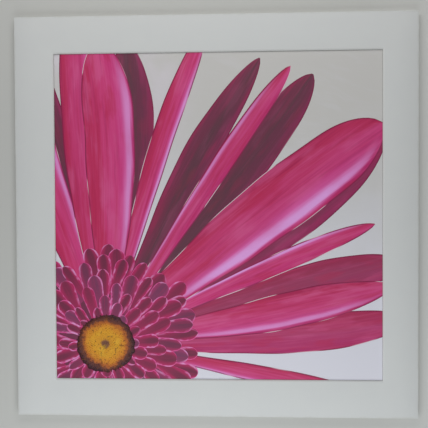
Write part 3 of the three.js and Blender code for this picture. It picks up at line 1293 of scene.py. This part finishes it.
@dataclass
class FloretWhorl:
    """Small petals round the eye, set out on a golden spiral so that inner ones lap outer ones."""

    SIZES: ClassVar[tuple[str, ...]] = (
        "Inner Tip",
        "Outer Tip",
        "Inner Length",
        "Outer Length",
        "Inner Width",
        "Outer Width",
        "Top Level",
        "Bottom Level",
    )

    centre: tuple[float, float]
    count: int = 112
    inner_tip: float = 0.05
    outer_tip: float = 0.147
    inner_length: float = 0.046
    outer_length: float = 0.068
    inner_width: float = 0.0165
    outer_width: float = 0.0235
    top_level: float = 0.88 * MM
    bottom_level: float = 0.74 * MM
    seed: int = 5

    def template(self) -> bpy.types.Object:
        """Makes one floret, 1 long and 1 wide with its tip at the origin and its paint 1 high."""
        rows, columns = 16, 10
        sheet = FilmSheet(floor=-0.1)
        top = []
        for i in range(rows + 1):
            along = math.sin(0.5 * math.pi * i / rows)
            swell = 0.55 + 0.45 * min(1.0, along / 0.75) ** 0.9
            half = 0.5 * swell * max(1 - max(0.0, (along - 0.78) / 0.22) ** 2.2, 0.0004) ** 0.5
            row = []
            for j in range(columns + 1):
                across = math.sin(0.5 * math.pi * (2 * j / columns - 1))
                crown = min(1.0, 2.5 * (1 - abs(across))) * min(1.0, 6 * (1 - along) + 0.2)
                place = Vector((along - 1, -across * half, (0.35 + 0.65 * along) * (0.94 + 0.06 * crown)))
                row.append((place, {"petal": Vector((along, across, half))}))
            top.append(row)
        sheet.film(top)
        return new_object("floret", sheet.mesh("floret"))

    def tree(self, paint: bpy.types.Material) -> bpy.types.NodeTree:
        """Builds the rule that repeats the floret round the spiral.

        Args:
            paint: The florets' finish.

        Returns:
            The rule.
        """
        inputs = {"Count": 10, **dict.fromkeys(self.SIZES, 0.0), "Seed": 0}
        w, source, sink = new_group("floret_spiral", GroupKind.RULE, "Geometry", inputs, ["Geometry"])
        given = source.outputs
        index = w.node("GeometryNodeInputIndex").outputs[0]
        share = w.math("DIVIDE", w.plus(index, 0.5), given["Count"])
        out = w.math("POWER", share, 0.62)

        def grows(size: str) -> Socket:
            """Goes from a size at the inside to the same size at the outside."""
            return w.fade(out, 0.0, 1.0, given[f"Inner {size}"], given[f"Outer {size}"])

        def chance(low: float, high: float, salt: int) -> Socket:
            """Gives each floret its own chance value."""
            return w.chance(low, high, index, w.plus(given["Seed"], salt))

        turn = w.plus(w.times(index, GOLDEN_ANGLE), chance(-0.09, 0.09, 1))
        tip = w.times(grows("Tip"), chance(0.95, 1.05, 2))
        length = w.times(grows("Length"), chance(0.88, 1.12, 3))
        width = w.times(grows("Width"), chance(0.82, 1.2, 4))
        level = w.fade(share, 0.0, 1.0, given["Top Level"], given["Bottom Level"])
        level.node.interpolation_type = "LINEAR"
        twist = w.plus(turn, chance(-0.16, 0.16, 5))
        size = w.combine(length, width, level)
        copies = w.copies(given["Count"], w.around(tip, turn, 0.0), given["Geometry"], twist, size)
        stored = w.node(
            "GeometryNodeStoreNamedAttribute",
            {"Geometry": copies, "Name": "floret"},
            data_type="FLOAT_VECTOR",
            domain="INSTANCE",
        )
        marks = w.combine(width, chance(0.0, 40.0, 6), out)
        w.feed(next(s for s in stored.inputs if s.name == "Value" and s.enabled), marks)
        return w.dress(sink, stored.outputs[0], paint)

    def build(self, area: Rect, canvas_front: float) -> None:
        """Paints the florets.

        Args:
            area: The canvas's face.
            canvas_front: The canvas's Y.
        """
        paint = FloretPaint().build()
        values = rule_values(self, ("Count", *self.SIZES, "Seed"))
        mesh = bake_nodes(self.template(), self.tree(paint), values)
        mesh.transform(Matrix.Translation((*self.centre, 0)))
        mesh.materials.clear()
        keep(new_object("florets", finished_film(mesh, "florets", area, canvas_front), paint), "flower_paint")


@dataclass
class FlowerEye:
    """The eye: a low mound of paint under several hundred dabs on a golden spiral."""

    centre: tuple[float, float]
    radius: float = 0.0435
    rise: float = 0.97 * MM
    rim_drop: float = 0.15  # how much lower the rim lies, as a share of the rise
    dab_count: int = 680
    dab_size: float = 0.0016
    dab_reach: float = 0.985  # of the radius
    seed: int = 3

    def mound(self) -> bpy.types.Object:
        """Makes the mound, flat side down, with a ragged rim."""
        spokes, rings = 96, 10
        bm = bmesh.new()
        rows = []
        for k in range(1, rings + 1):
            share = k / rings
            row = []
            for i in range(spokes):
                angle = 2 * math.pi * i / spokes
                spot = Vector((math.cos(angle), math.sin(angle), self.seed))
                ragged = 1 + 0.07 * noise.noise(1.3 * spot) + 0.07 * noise.noise(6 * spot)
                reach = self.radius * share * ragged
                height = self.rise * (1 - self.rim_drop * share**2)
                row.append(bm.verts.new((reach * math.cos(angle), reach * math.sin(angle), height)))
            rows.append(row)
        floor = [bm.verts.new((v.co.x, v.co.y, -0.05 * MM)) for v in rows[-1]]
        rows.append(floor)
        peak = bm.verts.new((0, 0, self.rise))
        for i in range(spokes):
            after = (i + 1) % spokes
            bm.faces.new((peak, rows[0][i], rows[0][after]))
            for lower, upper in zip(rows, rows[1:]):
                bm.faces.new((lower[i], upper[i], upper[after], lower[after]))
        bm.faces.new(list(reversed(floor)))
        bmesh.ops.recalc_face_normals(bm, faces=bm.faces)
        return new_object("eye_mound", to_mesh(bm, "eye_mound"))

    def dab(self) -> bpy.types.Object:
        """Makes one dab, a low rounded blob 1 across."""
        bm = bmesh.new()
        bmesh.ops.create_icosphere(bm, subdivisions=1, radius=0.5)
        bmesh.ops.scale(bm, verts=bm.verts, vec=(1.0, 1.0, 0.6))
        return new_object("dab", to_mesh(bm, "dab"))

    def tree(self, paint: bpy.types.Material) -> bpy.types.NodeTree:
        """Builds the rule that sets the dabs out on the mound.

        Args:
            paint: The dabs' finish.

        Returns:
            The rule.
        """
        inputs = {"Dab Count": 10, "Radius": 0.0, "Rise": 0.0, "Rim Drop": 0.0, "Dab Size": 0.0, "Seed": 0}
        w, source, sink = new_group("eye_dabs", GroupKind.RULE, "Geometry", inputs, ["Geometry"])
        given = source.outputs
        index = w.node("GeometryNodeInputIndex").outputs[0]
        share = w.math("DIVIDE", w.plus(index, 0.5), given["Dab Count"])
        reach = w.times(w.math("SQRT", share), w.times(given["Radius"], self.dab_reach))
        height = w.times(w.minus(1.0, w.times(share, given["Rim Drop"])), given["Rise"])
        turn = w.times(index, GOLDEN_ANGLE)
        across = w.times(w.chance(0.5, 1.5, index, given["Seed"]), given["Dab Size"])
        outward = w.times(across, w.fade(share, 0.75, 1.0, 1.0, 3.0))
        size = w.combine(outward, across, w.times(given["Rise"], 0.35))
        place = w.around(reach, turn, height)
        return w.dress(sink, w.copies(given["Dab Count"], place, given["Geometry"], turn, size), paint)

    def build(self, canvas_front: float) -> None:
        """Paints the eye.

        Args:
            canvas_front: The canvas's Y.
        """
        paint = EyePaint(self.centre, self.radius).build()
        mound = self.mound()
        mound.data.materials.append(paint)
        values = rule_values(self, ("Dab Count", "Radius", "Rise", "Rim Drop", "Dab Size", "Seed"))
        dabs = new_object("eye_dabs", bake_nodes(self.dab(), self.tree(paint), values))
        placed = Matrix.Translation((0, canvas_front, 0)) @ STAND_UP @ Matrix.Translation((*self.centre, 0))
        for piece in (mound, dabs):
            piece.data.transform(placed)
            piece.data.shade_smooth()
            keep(piece, "eye_paint")


@dataclass
class ShadePatch:
    """A thin round patch of dark paint that fills the gaps between the florets."""

    centre: tuple[float, float]
    radius: float = 0.132
    level: float = 0.06 * MM
    spokes: int = 96

    def finish(self) -> bpy.types.Material:
        """Builds its dark, brushed paint."""
        material, w, shader = new_material("shade_wash")
        streaks = w.group(Effect.BRUSH_STREAKS.tree, {"Stroke": w.place(), "Hairs": 90.0, "Run": 90.0})
        colour = w.mix(streaks.outputs["Height"], pigment(78, 36, 56), pigment(122, 40, 74))
        w.feed(shader.inputs["Base Color"], colour)
        shader.inputs["Roughness"].default_value = 0.55
        return material

    def build(self, area: Rect, canvas_front: float) -> None:
        """Paints the patch.

        Args:
            area: The canvas's face.
            canvas_front: The canvas's Y.
        """
        bm = bmesh.new()
        rings = []
        for height in (-0.05 * MM, self.level):
            ring = []
            for i in range(self.spokes):
                angle = 2 * math.pi * i / self.spokes
                ahead = Vector((math.cos(angle), math.sin(angle), 0))
                reach = self.radius * (1 + 0.03 * noise.noise(6 * ahead + Vector((0, 0, 1.5))))
                ring.append(bm.verts.new(Vector((*self.centre, height)) + reach * ahead))
            rings.append(ring)
        bm.faces.new(list(reversed(rings[0])))
        bm.faces.new(rings[1])
        for i in range(self.spokes):
            after = (i + 1) % self.spokes
            bm.faces.new((rings[0][i], rings[0][after], rings[1][after], rings[1][i]))
        mesh = finished_film(to_mesh(bm, "shade"), "floret_shade", area, canvas_front)
        keep(new_object("floret_shade", mesh, self.finish()), "flower_paint")


@dataclass
class PaintedCanvas:
    """The canvas with its wash, and the flower painted on it."""

    flower: tuple[float, float] = (-0.166, -0.192)
    fold_rounding: float = 0.3 * MM
    paint_margin: float = 0.6 * MM

    def build(self) -> None:
        """Builds the canvas and every part of the flower."""
        bm = refined("canvas", self.fold_rounding)
        canvas = new_object("canvas_wrap", to_mesh(bm, "canvas_wrap"), GroundWash().build())
        keep(canvas, "painted_canvas", "canvas")
        area = Rect.of_node("canvas").grown(-self.paint_margin)
        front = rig.box("canvas")[0].y
        ShadePatch(self.flower).build(area, front)
        RayFan(self.flower).build(area, front)
        FloretWhorl(self.flower).build(area, front)
        FlowerEye(self.flower).build(front)


# ---- The mount ----


@dataclass
class WindowMat:
    """The bevelled mat: a white paper face over a whiter core that shows at every cut."""

    rounding: float = 0.12 * MM
    cell: float = 0.03
    waviness: float = 0.1 * MM
    # The core's dark back band: backing paper, darkened as painted shade at the bevel's foot.
    back_paper: float = 0.5 * MM

    def build(self) -> None:
        """Builds the mat."""
        low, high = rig.box("window_mat")
        bm = refined("window_mat", self.rounding)
        steps = round((high.x - low.x) / self.cell)
        for k in range(1, steps):
            for axis, start in ((Vector((1, 0, 0)), low.x), (Vector((0, 0, 1)), low.z)):
                point = axis * (start + k * self.cell)
                geometry = [*bm.verts, *bm.edges, *bm.faces]
                bmesh.ops.bisect_plane(bm, geom=geometry, dist=1e-7, plane_co=point, plane_no=axis)
        for vert in bm.verts:
            wave = 0.5 + 0.5 * noise.noise(Vector((vert.co.x * 4, 3.7, vert.co.z * 4)))
            vert.co.y -= self.waviness * wave
        for face in bm.faces:
            face.material_index = 0 if abs(face.normal.y) > 0.9 else 1
            face.smooth = True
        for edge in bm.edges:
            edge.smooth = edge.calc_face_angle(0.0) < math.radians(30)
        face_finish = MatFace(half_side=high.x).build()
        white, seam = (0.84, 0.85, 0.84, 1.0), (0.74, 0.75, 0.74, 1.0)
        core = PlyEdge("mat_core", white, seam, 0.4 * MM, high.y, self.back_paper).build()
        keep(new_object("mat_board", to_mesh(bm, "mat_board"), face_finish, core), "mat_board", "window_mat")


@dataclass
class BackingBoard:
    """The foam board: white paper on both faces and foam at its cut edges."""

    rounding: float = 0.15 * MM

    def build(self) -> None:
        """Builds the board."""
        bm = refined("backing_board", self.rounding)
        for face in bm.faces:
            face.material_index = 0 if abs(face.normal.y) > 0.5 else 1
        paper = BoardFinish("foam_board_paper", (0.80, 0.80, 0.77, 1.0), (0.78, 0.78, 0.75, 1.0)).build()
        piece = new_object("foam_board", to_mesh(bm, "foam_board"), paper, FoamCore().build())
        keep(piece, "foam_board", "backing_board")


@dataclass
class HiddenBoards:
    """The pieces between the boards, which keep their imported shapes."""

    def build(self) -> None:
        """Gives each node its finish."""
        light_grey, dark_grey = (0.34, 0.32, 0.29, 1.0), (0.26, 0.245, 0.22, 1.0)
        grey = BoardFinish("grey_board", light_grey, dark_grey, 500.0, 0.9).build()
        brown, dark_brown = (0.47, 0.33, 0.19, 1.0), (0.40, 0.28, 0.16, 1.0)
        kraft = BoardFinish("kraft_paper", brown, dark_brown, 420.0, 0.8).build()
        strip = PlyEdge("strip_board", (0.76, 0.75, 0.70, 1.0), (0.62, 0.61, 0.57, 1.0), 0.5 * MM).build()
        tape = SmoothPlastic("clear_tape", (0.78, 0.75, 0.62, 1.0), (0.70, 0.67, 0.54, 1.0), 0.4).build()
        finishes = {"panel_core": grey, "panel_back_paper": kraft, "sink_strip": strip, "tape": tape}
        for name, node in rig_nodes().items():
            for key, finish in finishes.items():
                if key in name:
                    node.data.materials.clear()
                    node.data.materials.append(finish)
                    log.info("%s: %s", name, finish.name)


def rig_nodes() -> dict[str, bpy.types.Object]:
    """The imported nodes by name."""
    return {o.name: o for o in bpy.data.objects if o.get("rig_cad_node")}


class HookSide(Enum):
    """Which half of a hook strip pair a node is."""

    WALL = "wall_strip"
    PICTURE = "picture_strip"


@dataclass
class HookStrips:
    """The four pairs of adhesive strips: foam pad, plastic film and a field of small hooks on each half."""

    foam_share: float = 0.5
    film_share: float = 0.72
    hook_pitch: float = 2.1 * MM
    hook_inset: float = 1.2 * MM
    corner: float = 3.0 * MM
    tab_length: float = 12.0 * MM
    tab_inset: float = 0.03 * MM  # keeps the tab's face out of the pad's

    def build(self) -> None:
        """Builds both halves of every pair."""
        foam = SmoothPlastic("foam_tape", (0.86, 0.86, 0.84, 1.0), (0.80, 0.80, 0.78, 1.0), 0.7).build()
        film = SmoothPlastic("hook_film", (0.90, 0.90, 0.90, 1.0), (0.84, 0.84, 0.84, 1.0), 0.4).build()
        tree = self.tree(film)
        for side in HookSide:
            for name in sorted(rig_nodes()):
                if name.startswith(side.value):
                    self.half(name, side, foam, film, tree)

    def half(
        self,
        node: str,
        side: HookSide,
        foam: bpy.types.Material,
        film: bpy.types.Material,
        tree: bpy.types.NodeTree,
    ) -> None:
        """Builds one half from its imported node's box.

        Args:
            node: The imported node.
            side: Which half it is.
            foam: The pad's finish.
            film: The film's and the hooks' finish.
            tree: The hook field's rule.
        """
        low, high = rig.box(node)
        thickness = high.y - low.y
        pad_low = low.z + self.tab_length
        middle = Vector(((low.x + high.x) / 2, 0, (pad_low + high.z) / 2))
        # Depths run from the adhesive face towards the hooks.
        glue, towards = (high.y, -1) if side is HookSide.WALL else (low.y, 1)
        size = (high.x - low.x, high.z - pad_low)
        bm = bmesh.new()
        self.rounded_slab(bm, middle, size, glue, glue + towards * thickness * self.foam_share, 0)
        inner = (size[0] - 0.6 * MM, size[1] - 0.6 * MM)
        start = glue + towards * thickness * self.foam_share
        self.rounded_slab(bm, middle, inner, start, glue + towards * thickness * self.film_share, 1)
        tab_middle = Vector((middle.x, 0, (low.z + pad_low + self.corner) / 2))
        tab_size = (size[0] - 1.0 * MM, self.tab_length + self.corner)
        tab_start = glue + towards * self.tab_inset
        self.rounded_slab(bm, tab_middle, tab_size, tab_start, glue + towards * 0.2 * MM, 1)
        piece = new_object(f"{node}_pad", to_mesh(bm, f"{node}_pad"), foam, film)
        keep(piece, "hook_plastic", node)

        room = thickness * (1 - self.film_share)
        width, height = (side - 2 * self.hook_inset for side in inner)
        values = {"Width": width, "Height": height, "Pitch": self.hook_pitch}
        mesh = bake_nodes(self.hook(room), tree, values)
        turn = Matrix.Rotation(math.pi / 2 * -towards, 4, "X")
        level = glue + towards * thickness * self.film_share
        mesh.transform(Matrix.Translation((middle.x, level, middle.z)) @ turn)
        keep(new_object(f"{node}_hooks", mesh), "hook_plastic")

    def rounded_slab(
        self,
        bm: bmesh.types.BMesh,
        middle: Vector,
        size: tuple[float, float],
        start: float,
        end: float,
        slot: int,
    ) -> None:
        """Adds a closed slab with rounded corners and softened rims.

        Args:
            bm: Where it goes.
            middle: Its middle in X and Z.
            size: Its width and height.
            start, end: Its Y at each face.
            slot: Its material slot.
        """
        steps = 6
        outline = []
        for k, (sx, sz) in enumerate(((1, 1), (-1, 1), (-1, -1), (1, -1))):
            for i in range(steps + 1):
                angle = math.pi / 2 * (k + i / steps)
                x = middle.x + sx * (size[0] / 2 - self.corner) + self.corner * math.cos(angle)
                z = middle.z + sz * (size[1] / 2 - self.corner) + self.corner * math.sin(angle)
                outline.append((x, z))
        soft = min(abs(end - start) * 0.3, 0.15 * MM)
        way = 1 if end > start else -1
        levels = [(start, soft), (start + way * soft, 0.0), (end - way * soft, 0.0), (end, soft)]
        rings = []
        for level, inset in levels:
            ring = []
            for x, z in outline:
                inward = Vector((middle.x - x, middle.z - z)).normalized() * inset
                ring.append(bm.verts.new((x + inward.x, level, z + inward.y)))
            rings.append(ring)
        count = len(outline)
        faces = [bm.faces.new(rings[0]), bm.faces.new(rings[-1])]
        for lower, upper in zip(rings, rings[1:]):
            for i in range(count):
                after = (i + 1) % count
                faces.append(bm.faces.new((lower[i], lower[after], upper[after], upper[i])))
        bmesh.ops.recalc_face_normals(bm, faces=faces)
        for face in faces:
            face.material_index = slot
            face.smooth = len(face.verts) == 4

    def hook(self, room: float) -> bpy.types.Object:
        """Makes one mushroom-headed hook, standing on the origin along Z."""
        bm = bmesh.new()
        profile = [(0.16, 0.0), (0.13, 0.55), (0.34, 0.62), (0.30, 0.82), (0.0, 1.0)]
        sides = 6
        rings = []
        for reach, rise in profile[:-1]:
            ring = []
            for i in range(sides):
                angle = 2 * math.pi * i / sides
                spot = Vector((math.cos(angle), math.sin(angle), 0)) * reach * MM
                ring.append(bm.verts.new((spot.x, spot.y, rise * room)))
            rings.append(ring)
        tip = bm.verts.new((0, 0, profile[-1][1] * room))
        for i in range(sides):
            after = (i + 1) % sides
            for lower, upper in zip(rings, rings[1:]):
                bm.faces.new((lower[i], lower[after], upper[after], upper[i]))
            bm.faces.new((rings[-1][i], rings[-1][after], tip))
        bm.faces.new(list(reversed(rings[0])))
        bmesh.ops.recalc_face_normals(bm, faces=bm.faces)
        return new_object("hook", to_mesh(bm, "hook"))

    def tree(self, finish: bpy.types.Material) -> bpy.types.NodeTree:
        """Builds the rule that sets hooks out on a grid."""
        inputs = {"Width": 0.01, "Height": 0.01, "Pitch": 0.001}
        w, source, sink = new_group("hook_field", GroupKind.RULE, "Geometry", inputs, ["Geometry"])
        given = source.outputs
        across = w.math("ROUND", w.math("DIVIDE", given["Width"], given["Pitch"]))
        up = w.math("ROUND", w.math("DIVIDE", given["Height"], given["Pitch"]))
        sizes = {"Size X": given["Width"], "Size Y": given["Height"], "Vertices X": across, "Vertices Y": up}
        grid = w.node("GeometryNodeMeshGrid", sizes)
        points = w.node("GeometryNodeMeshToPoints", {0: grid.outputs[0]})
        inputs = {"Points": points.outputs[0], "Instance": given["Geometry"]}
        return w.dress(sink, w.node("GeometryNodeInstanceOnPoints", inputs).outputs[0], finish)


# ---- Stage, light and camera ----


# The wall's third colour is paler: painted light on its right-hand side.
WALL_PAINT = StagePaint(
    "wall_paint", (0.668, 0.667, 0.643, 1.0), (0.66, 0.66, 0.64, 1.0), (0.74, 0.74, 0.72, 1.0)
)
FLOOR_PAINT = StagePaint(
    "floor_paint", (0.62, 0.62, 0.61, 1.0), (0.6, 0.6, 0.59, 1.0), (0.61, 0.61, 0.6, 1.0)
)


@dataclass
class Studio:
    """A pale wall and floor, soft light and the camera."""

    camera_place: tuple[float, float, float] = (0.0662, -1.2094, 0.035)
    camera_target: tuple[float, float, float] = (-0.0008, -0.0118, 0.0038)
    camera_roll: float = 0.30  # degrees
    lens: float = 67.76  # mm on a 36 mm sensor
    wall_size: float = 4.0
    floor_drop: float = 1.5
    wall_gap: float = 0.3 * MM

    def set_camera(self) -> None:
        """Makes the camera and frames the picture."""
        data = bpy.data.cameras.new("camera")
        data.sensor_width = 36.0
        data.lens = self.lens
        data.clip_start = 0.01
        camera = bpy.data.objects.new("camera", data)
        bpy.context.scene.collection.objects.link(camera)
        ahead = Vector(self.camera_target) - Vector(self.camera_place)
        aim = ahead.to_track_quat("-Z", "Y").to_matrix().to_4x4()
        roll = Matrix.Rotation(math.radians(-self.camera_roll), 4, "Z")
        camera.matrix_world = Matrix.Translation(self.camera_place) @ aim @ roll
        bpy.context.scene.camera = camera

    def plane(self, name: str, corners: Iterable[Sequence[float]], finish: StagePaint) -> None:
        """Adds one flat part of the stage."""
        mesh = bpy.data.meshes.new(name)
        mesh.from_pydata([tuple(corner) for corner in corners], [], [(0, 1, 2, 3)])
        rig.stage(new_object(name, mesh, finish.build()))

    def light(self, name: str, place: Sequence[float], side: float, power: float, colour: Colour) -> None:
        """Adds a soft upright square light that shines straight at the wall's plane."""
        data = bpy.data.lights.new(name, "AREA")
        data.size = side
        data.energy = power
        data.color = colour[:3]
        lamp = bpy.data.objects.new(name, data)
        bpy.context.scene.collection.objects.link(lamp)
        lamp.location = place
        lamp.rotation_euler = (math.copysign(math.pi / 2, -place[1]), 0, 0)
        lamp.visible_camera = False

    def build(self) -> None:
        """Builds the stage and the lights."""
        half, drop, gap = self.wall_size / 2, self.floor_drop, self.wall_gap
        wall = [(-half, gap, -drop), (half, gap, -drop), (half, gap, half), (-half, gap, half)]
        near = -self.wall_size
        floor = [(-half, near, -drop), (half, near, -drop), (half, gap, -drop), (-half, gap, -drop)]
        self.plane("wall", wall, WALL_PAINT)
        self.plane("floor", floor, FLOOR_PAINT)
        self.light("low_light", (-0.05, -0.7, -0.7), 1.0, 5.1, (0.95, 0.99, 1.0, 1.0))
        self.light("high_light", (-0.05, -0.7, 0.9), 1.0, 5.6, (1.0, 1.0, 0.985, 1.0))
        self.light("back_light", (1.2, 2.2, 1.4), 2.0, 40.0, (1.0, 1.0, 1.0, 1.0))
        world = bpy.data.worlds.new("world")
        world.use_nodes = True
        background = world.node_tree.nodes["Background"]
        background.inputs["Color"].default_value = (0.97, 0.99, 1.0, 1.0)
        background.inputs["Strength"].default_value = 0.155
        bpy.context.scene.world = world
        bpy.context.scene.view_settings.view_transform = "Standard"


def corners(box: tuple[Vector, Vector]) -> list[list[float]]:
    """Writes a box's two corners as plain numbers."""
    return [[round(float(value), 6) for value in corner] for corner in box]


def main() -> None:
    """Builds the picture, piece by piece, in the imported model's frame."""
    logging.basicConfig(level=logging.INFO, format="%(name)s: %(message)s")
    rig.load()
    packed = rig.bounds()
    studio = Studio()
    studio.set_camera()
    WindowMat().build()
    PaintedCanvas().build()
    HiddenBoards().build()
    BackingBoard().build()
    HookStrips().build()
    studio.build()
    with open(SIZE_FILE, "w", encoding="utf-8") as file:
        json.dump({"packed": corners(packed), "visual": corners(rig.bounds())}, file, indent=1)


if __name__ == "__main__":
    main()
